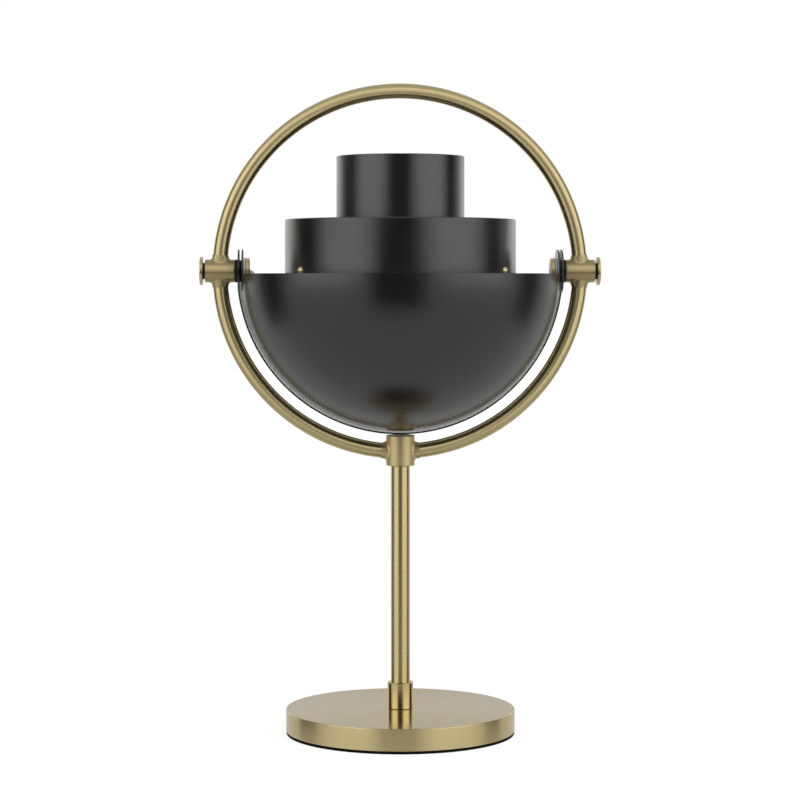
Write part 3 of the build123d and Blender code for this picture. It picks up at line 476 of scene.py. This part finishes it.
# %% [markdown]
# The heat sink is turned from bare aluminium, so it takes the same grooves as the brass, dull and grey.
# They are cut, not polished, so they lie further apart and are deeper.

# %% Finish: bare aluminium
bare_aluminium, tree, shader, place = start_finish("bare_aluminium", metallic=1.0)
across = across_upright(tree, place)
grain = use_group(tree, grain_group, {"Across": across, "Lines per Metre": 3500.0})
dulled(tree, shader, place, span(tree, grain["Streaks"], 0.33, 0.4), 0.06)
tint(tree, shader, grain["Streaks"], (0.68, 0.69, 0.7), (0.75, 0.76, 0.77))
emboss(tree, shader, grain["Height"], shallow)
print("turned metal:", bare_aluminium.name)

# %% [markdown]
# The control board is green solder mask over copper tracks. The tracks could be cut as geometry, but they
# are thinner than a hair and lie inside the base, so a brick pattern stands for their raised lines.

# %% Finish: control board
track_height = 0.00003
green_board, tree, shader, place = start_finish("green_board")
tracks = add(
    tree,
    "ShaderNodeTexBrick",
    {"Vector": place, "Scale": 90.0, "Mortar Size": 0.03, "Brick Width": 0.35, "Row Height": 0.12},
).outputs["Fac"]
skin = use_group(tree, skin_group, {"Place": place, "Grains per Metre": 2500.0})
dulled(tree, shader, place, span(tree, skin["Mottle"], 0.3, 0.38), 0.05)
tint(tree, shader, tracks, (0.012, 0.085, 0.035), (0.03, 0.15, 0.06))
emboss(tree, shader, tracks, track_height)
print("board:", green_board.name)

# %% [markdown]
# Light passes the opal acrylic of the diffuser and is scattered inside it, so it looks milky and
# soft-edged. A glass shader would show what is behind it. A little subsurface scattering in a pale satin
# plastic is nearer. Its face also glows a little, as with the light dimmed low, so the white insides of
# the shades catch some light.

# %% Finish: diffuser
scatter_depth = 0.004
glow_colour = (1.0, 0.98, 0.94, 1)
glow_strength = 1.0
opal_acrylic, tree, shader, place = start_finish("opal_acrylic")
skin = use_group(tree, skin_group, {"Place": place, "Grains per Metre": 1500.0})
dulled(tree, shader, place, span(tree, skin["Mottle"], 0.34, 0.4), 0.05)
tint(tree, shader, skin["Mottle"], (0.8, 0.795, 0.775), (0.84, 0.835, 0.82))
emboss(tree, shader, skin["Height"], shallow)
shader.inputs["Subsurface Weight"].default_value = 0.3
shader.inputs["Subsurface Radius"].default_value = (scatter_depth, scatter_depth, scatter_depth)
shader.inputs["Emission Color"].default_value = glow_colour
shader.inputs["Emission Strength"].default_value = glow_strength
print("diffuser:", opal_acrylic.name, "scatters", scatter_depth * 1000, "mm deep")

# %% [markdown]
# The battery's cells are wrapped in a shrunk film with small creases, and the light chips carry a grainy
# yellow phosphor. Both are small and hidden when the lamp is whole, so one noise each is enough.

# %% Finish: cells and light chips
crease_depth = 0.00015
cell_wrap, tree, shader, place = start_finish("cell_wrap")
creases = add(
    tree, "ShaderNodeTexNoise", {"Vector": place, "Scale": 240.0, "Detail": 3.0, "Distortion": 1.5}
).outputs["Fac"]
dulled(tree, shader, place, span(tree, creases, 0.3, 0.4), 0.05)
tint(tree, shader, creases, (0.09, 0.13, 0.2), (0.12, 0.165, 0.25))
emboss(tree, shader, creases, crease_depth)

led_phosphor, tree, shader, place = start_finish("led_phosphor")
powder = use_group(tree, skin_group, {"Place": place, "Grains per Metre": 5000.0})["Height"]
dulled(tree, shader, place, span(tree, powder, 0.35, 0.45), 0.03)
tint(tree, shader, powder, (0.72, 0.56, 0.14), (0.8, 0.66, 0.22))
emboss(tree, shader, powder, moulded)
print("cells and chips:", cell_wrap.name, led_phosphor.name)

# %% [markdown]
# Each node came with one plain material named after its slot. A table turns slots into finishes, and a
# second one picks the right brass for each brass piece. The mesh itself isn't touched.

# %% Give every node its finish
slot_finish = {
    "satin_brass": knob_brass,
    "black_paint": black_paint,
    "black_rubber": black_rubber,
    "black_nylon": black_nylon,
    "white_nylon": white_nylon,
    "plated_steel": zinc_steel,
    "bare_aluminium": bare_aluminium,
    "opal_acrylic": opal_acrylic,
    "board_green": green_board,
    "cell_wrap": cell_wrap,
    "wire_red": red_sleeving,
    "led_phosphor": led_phosphor,
}
brass_pieces = {
    "base_shell": base_brass,
    "lower_collar": foot_brass,
    "stem_tube": stem_brass,
    "ring_collar": collar_brass,
    "left_sleeve": sleeve_brass,
    "right_sleeve": sleeve_brass,
    "ring_upper_arc": ring_brass,
    "ring_lower_left_arc": ring_brass,
    "ring_lower_right_arc": ring_brass,
}
for name, node in nodes.items():
    slot = node.data.materials[0].name
    node.data.materials[0] = brass_pieces.get(name, slot_finish[slot])
finishes = set(slot_finish.values()) | set(brass_pieces.values())
print(len(nodes), "nodes finished with", len(finishes), "materials")

# %% [markdown]
# The shades and the drum are white inside, and the light board is sprayed white underneath so that no
# light is lost between the chips. A second solid could carry the white, but a sprayed coat has no
# thickness to speak of, so the faces that look inwards get the white paint and the cut edges stay black.
# In the same way the base's flat top, which is polished finer than its side, gets a smoother brass.

# %% Pieces with two finishes
drum_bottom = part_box("drum_shell")[0].z
drum_lip = 0.002
slightly, half, nearly_fully = 0.3, 0.5, 0.9


def second_finish(name, finish, has_it):
    """Gives another finish to the faces for which has_it(centre, normal) is true."""
    mesh = nodes[name].data
    mesh.materials.append(finish)
    chosen = [face for face in mesh.polygons if has_it(face.center, face.normal)]
    for face in chosen:
        face.material_index = 1
    print(name, "has", finish.name, "on", len(chosen), "of", len(mesh.polygons), "faces")


def inside_shade(centre, normal):
    """Faces that look towards the middle of the pivot line."""
    return normal.dot((centre - pivot_middle).normalized()) < -slightly


def inside_drum(centre, normal):
    """Faces that look towards the drum's axis, and the underside of its top."""
    to_axis = Vector((-centre.x, -centre.y, 0)).normalized()
    looks_down = normal.z < -half and centre.z > drum_bottom + drum_lip
    return normal.dot(to_axis) > half or looks_down


def board_underside(centre, normal):
    """Faces that look down."""
    return normal.z < -half


def base_top(centre, normal):
    """Faces that look straight up."""
    return normal.z > nearly_fully


second_finish("front_shade", white_paint, inside_shade)
second_finish("rear_shade", white_paint, inside_shade)
second_finish("drum_shell", white_paint, inside_drum)
second_finish("led_board", white_paint, board_underside)
second_finish("base_shell", top_brass, base_top)

# %% [markdown]
# A studio is built from flat sheets: a floor, a sweep and cards. Each could be its own mesh primitive, but
# one function that makes a plane of a given size does for all. Their materials are only light and white
# or black, so they start from an empty tree.


# %% Helpers for flat sheets
def stage_plane(name, width, depth, material):
    """A flat stage piece round its own origin, facing +Z."""
    mesh = bpy.data.meshes.new(name)
    corners = [(x * width / 2, y * depth / 2, 0) for x, y in ((-1, -1), (1, -1), (1, 1), (-1, 1))]
    mesh.from_pydata(corners, [], [(0, 1, 2, 3)])
    mesh.materials.append(material)
    plane = bpy.data.objects.new(name, mesh)
    scene.collection.objects.link(plane)
    return plane


def bare_material(name):
    """A material with an empty tree."""
    material = bpy.data.materials.new(name)
    material.use_nodes = True
    material.node_tree.nodes.clear()
    return material, material.node_tree


print("sheets are made by", stage_plane.__name__, "and", bare_material.__name__)

# %% [markdown]
# Four things are often put into such a tree: a glow, a matte surface, a mix of two shaders, and a soft
# mask that rules the mix. The nodes could be added one by one each time, but with a name for each the
# next cells read like sentences.


# %% Helpers for glow, matte and soft masks
def white_glow(tree, strength):
    """White light of its own."""
    return add(tree, "ShaderNodeEmission", {"Color": (1, 1, 1, 1), "Strength": strength}).outputs[0]


def matte(tree, level):
    """A surface that only scatters light."""
    return add(tree, "ShaderNodeBsdfDiffuse", {"Color": (*grey(level), 1)}).outputs[0]


def mixed(tree, mask, first, second):
    """The first shader where the mask is 0, and the second where it is 1."""
    return add(tree, "ShaderNodeMixShader", {0: mask, 1: first, 2: second}).outputs[0]


def rising(tree, value, begin, end):
    """A mask that goes softly from 0 at begin to 1 at end."""
    node = add(
        tree,
        "ShaderNodeMapRange",
        {"Value": value, "From Min": begin, "From Max": end},
        interpolation_type="SMOOTHSTEP",
    )
    return node.outputs["Result"]


print("four helpers:", white_glow.__name__, matte.__name__, mixed.__name__, rising.__name__)

# %% [markdown]
# The lamp stands on a white floor. Close to the lamp a part of its white is lit, so that the lamp leaves a
# soft shadow on it. Further away it only glows, which hides the horizon. A large lit sheet with a curved
# back would do the same, but its white would change with every lamp that is moved.

# %% Floor that the camera sees
lit_share, glow_share = 0.3, 0.78
lit_until, glows_from = 0.1, 0.45
full_white = 1.0


def seen_floor(tree, place):
    """Lit in part near the lamp, and plain white further away."""
    near = add(tree, "ShaderNodeAddShader", {0: matte(tree, lit_share), 1: white_glow(tree, glow_share)})
    distance = add(tree, "ShaderNodeVectorMath", {0: place}, operation="LENGTH").outputs["Value"]
    fade = rising(tree, distance, lit_until, glows_from)
    return mixed(tree, fade, near.outputs[0], white_glow(tree, full_white))


floor_white, floor_tree = bare_material("floor_white")
floor_place = add(floor_tree, "ShaderNodeTexCoord").outputs["Object"]
camera_part = seen_floor(floor_tree, floor_place)
print("floor material", floor_white.name)

# %% [markdown]
# Metal sees the floor too. In the photograph, the base's side mirrors a bright patch of table just in
# front of it, and everything else seems to mirror a white that lies much lower. So in mirrors the floor
# is that patch alone. It fades out round a point in front of the base, and beyond it the floor is clear.
# Other light bounces from a plain pale surface. The floor lies a hair below the pad, because two faces in
# one plane would flicker.

# %% Floor in mirrors, and the floor itself
patch_middle = (0, -0.12, 0)
patch_full, patch_gone = 0.08, 0.22
mirrored_white = 0.68
floor_bounce = 0.75
floor_width = 40.0
floor_drop = 0.0001


def mirrored_floor(tree, place):
    """The bright patch in front of the base, and nothing round it."""
    measure = add(tree, "ShaderNodeVectorMath", {0: place, 1: patch_middle}, operation="DISTANCE")
    clear = add(tree, "ShaderNodeBsdfTransparent").outputs[0]
    fade = rising(tree, measure.outputs["Value"], patch_full, patch_gone)
    return mixed(tree, fade, white_glow(tree, mirrored_white), clear)


path = add(floor_tree, "ShaderNodeLightPath").outputs
mirror_part = mirrored_floor(floor_tree, floor_place)
indirect = mixed(floor_tree, path["Is Glossy Ray"], matte(floor_tree, floor_bounce), mirror_part)
surface = mixed(floor_tree, path["Is Camera Ray"], indirect, camera_part)
add(floor_tree, "ShaderNodeOutputMaterial", {"Surface": surface})
floor = stage_plane("floor", floor_width, floor_width, floor_white)
floor.location.z = -floor_drop
print("floor", floor.dimensions.x, "m wide")

# %% [markdown]
# Metal shows its surroundings more than its own colour. The photograph's brass mirrors a wide white
# surface well below the lamp and a white backdrop behind it. A second white plane, seen only in mirrors
# and through glass, gives the first, and the world gives the second, a little dimmer than the white that
# the camera sees.

# %% Mirrored sweep
sweep_width, sweep_depth = 16.0, 0.55


def only_in_mirrors(thing):
    """Hides a stage piece from the camera and from diffuse light, and takes its shadow away."""
    thing.visible_camera = False
    thing.visible_diffuse = False
    thing.visible_shadow = False


sweep_white, tree = bare_material("sweep_white")
add(tree, "ShaderNodeOutputMaterial", {"Surface": white_glow(tree, mirrored_white)})
sweep = stage_plane("mirrored_sweep", sweep_width, sweep_width, sweep_white)
sweep.location.z = -sweep_depth
only_in_mirrors(sweep)
print("sweep", sweep_depth, "m below the lamp's foot")

# %% [markdown]
# The world has three tasks, told apart by the kind of ray: plain white for the camera, a dimmer backdrop
# for mirrors and glass, and a fill that lights the lamp from all round. A picture of a studio could do
# all three, but plain levels are easy to set and need no file.

# %% Backdrop and fill
fill_level, backdrop_level = 0.72, 0.65
world = bpy.data.worlds.new("studio")
scene.world = world
world.use_nodes = True
tree = world.node_tree
tree.nodes.clear()


def sky(tree, strength):
    """Even white light from all round."""
    return add(tree, "ShaderNodeBackground", {"Color": (1, 1, 1, 1), "Strength": strength}).outputs[0]


path = add(tree, "ShaderNodeLightPath").outputs
in_mirrors = add(
    tree,
    "ShaderNodeMath",
    {0: path["Is Glossy Ray"], 1: path["Is Transmission Ray"]},
    operation="MAXIMUM",
).outputs[0]
fill, backdrop, white = sky(tree, fill_level), sky(tree, backdrop_level), sky(tree, full_white)
around = mixed(tree, path["Is Camera Ray"], mixed(tree, in_mirrors, fill, backdrop), white)
add(tree, "ShaderNodeOutputWorld", {"Surface": around})
print("world", world.name, "with", len(tree.nodes), "nodes")

# %% [markdown]
# Lights and cards stand in a circle round the lamp and look at its axis. Their places could be typed in,
# but an angle from the camera says more: it is what a photographer sets, and it follows the camera when
# that is moved.


# %% Helpers that place and aim
def beside_camera(turn, distance, height):
    """A point at an angle from the camera's direction, seen from the lamp."""
    angle = camera_turn + math.radians(turn)
    return Vector((distance * math.sin(angle), -distance * math.cos(angle), height))


def face_lamp(thing, target_height):
    """Turns a lamp or card so that its Z axis lies on the line to the lamp's axis."""
    away = thing.location - Vector((0, 0, target_height))
    thing.rotation_euler = away.to_track_quat("Z", "Y").to_euler()


print("straight behind the camera, 2 m from the lamp:", [round(v, 2) for v in beside_camera(0, 2, 0)])

# %% [markdown]
# Two tall soft boxes stand left and right of the camera. Smooth brass and satin black show them as long
# highlights. A real one is brightest in the middle and fades towards its frame, so its light is shaped by
# its own width and height: without that, its edges would draw hard lines on the black shades.

# %% Soft boxes
box_distance = 1.5
box_bottom, box_top = -0.1, 2.0
box_brightness = 1.25
fade_across, fade_up = 0.32, 0.15


def faded(tree, value, fade_width):
    """1 in the middle of a span from 0 to 1, and softly 0 at both its ends."""
    centred = add(tree, "ShaderNodeMath", {0: value, 1: 0.5}, operation="SUBTRACT")
    away = add(tree, "ShaderNodeMath", {0: centred.outputs[0]}, operation="ABSOLUTE")
    return rising(tree, away.outputs[0], 0.5, 0.5 - fade_width)


def soft_box(name, turn, width):
    """A tall area light at an angle from the camera, soft at its edges."""
    light = bpy.data.lights.new(name, "AREA")
    light.shape = "RECTANGLE"
    light.size = width
    light.size_y = box_top - box_bottom
    light.energy = box_brightness * math.pi * light.size * light.size_y
    light.use_nodes = True
    tree = light.node_tree
    spot = add(tree, "ShaderNodeNewGeometry").outputs["Parametric"]
    parts = add(tree, "ShaderNodeSeparateXYZ", {0: spot}).outputs
    shape = add(
        tree,
        "ShaderNodeMath",
        {0: faded(tree, parts["X"], fade_across), 1: faded(tree, parts["Y"], fade_up)},
        operation="MULTIPLY",
    )
    tree.links.new(shape.outputs[0], tree.nodes["Emission"].inputs["Strength"])
    box = bpy.data.objects.new(name, light)
    middle = (box_bottom + box_top) / 2
    box.location = beside_camera(turn, box_distance, middle)
    face_lamp(box, middle)
    box.visible_camera = False
    scene.collection.objects.link(box)
    return box


left_box = soft_box("left_soft_box", turn=-53.0, width=2.05)
right_box = soft_box("right_soft_box", turn=55.0, width=2.3)
for box in (left_box, right_box):
    print(box.name, "at", [round(value, 2) for value in box.location])

# %% [markdown]
# Cards shape what the metal mirrors. A black one hangs behind the camera and gives the dark line in the
# middle of shades and stem, and one on each side darkens the flanks. White ones behind the lamp draw the
# pale outer edges. They are seen only in reflections, so they take no light away from the lamp and add
# none.

# %% Cards
black_level, white_level = 0.01, 1.35
edge_bottom, edge_top = 0.12, 0.66
card_black, tree = bare_material("card_black")
add(tree, "ShaderNodeOutputMaterial", {"Surface": matte(tree, black_level)})
card_white, tree = bare_material("card_white")
add(tree, "ShaderNodeOutputMaterial", {"Surface": white_glow(tree, white_level)})


def hang_card(name, finish, turn, distance, width, bottom, top):
    """A card that only mirrors see, at an angle from the camera."""
    card = stage_plane(name, width, top - bottom, finish)
    card.location = beside_camera(turn, distance, (bottom + top) / 2)
    face_lamp(card, (bottom + top) / 2)
    only_in_mirrors(card)
    print(name, "at", [round(value, 2) for value in card.location])


hang_card("camera_card", card_black, turn=-1.5, distance=1.6, width=1.1, bottom=-sweep_depth, top=0.72)
hang_card("left_card", card_black, turn=-104.5, distance=1.9, width=0.95, bottom=-sweep_depth, top=1.2)
hang_card("right_card", card_black, turn=104.0, distance=1.9, width=0.8, bottom=-sweep_depth, top=1.2)
for name, turn in (("left_edge_card", -148.0), ("right_edge_card", 146.0)):
    hang_card(name, card_white, turn, distance=1.9, width=1.0, bottom=edge_bottom, top=edge_top)
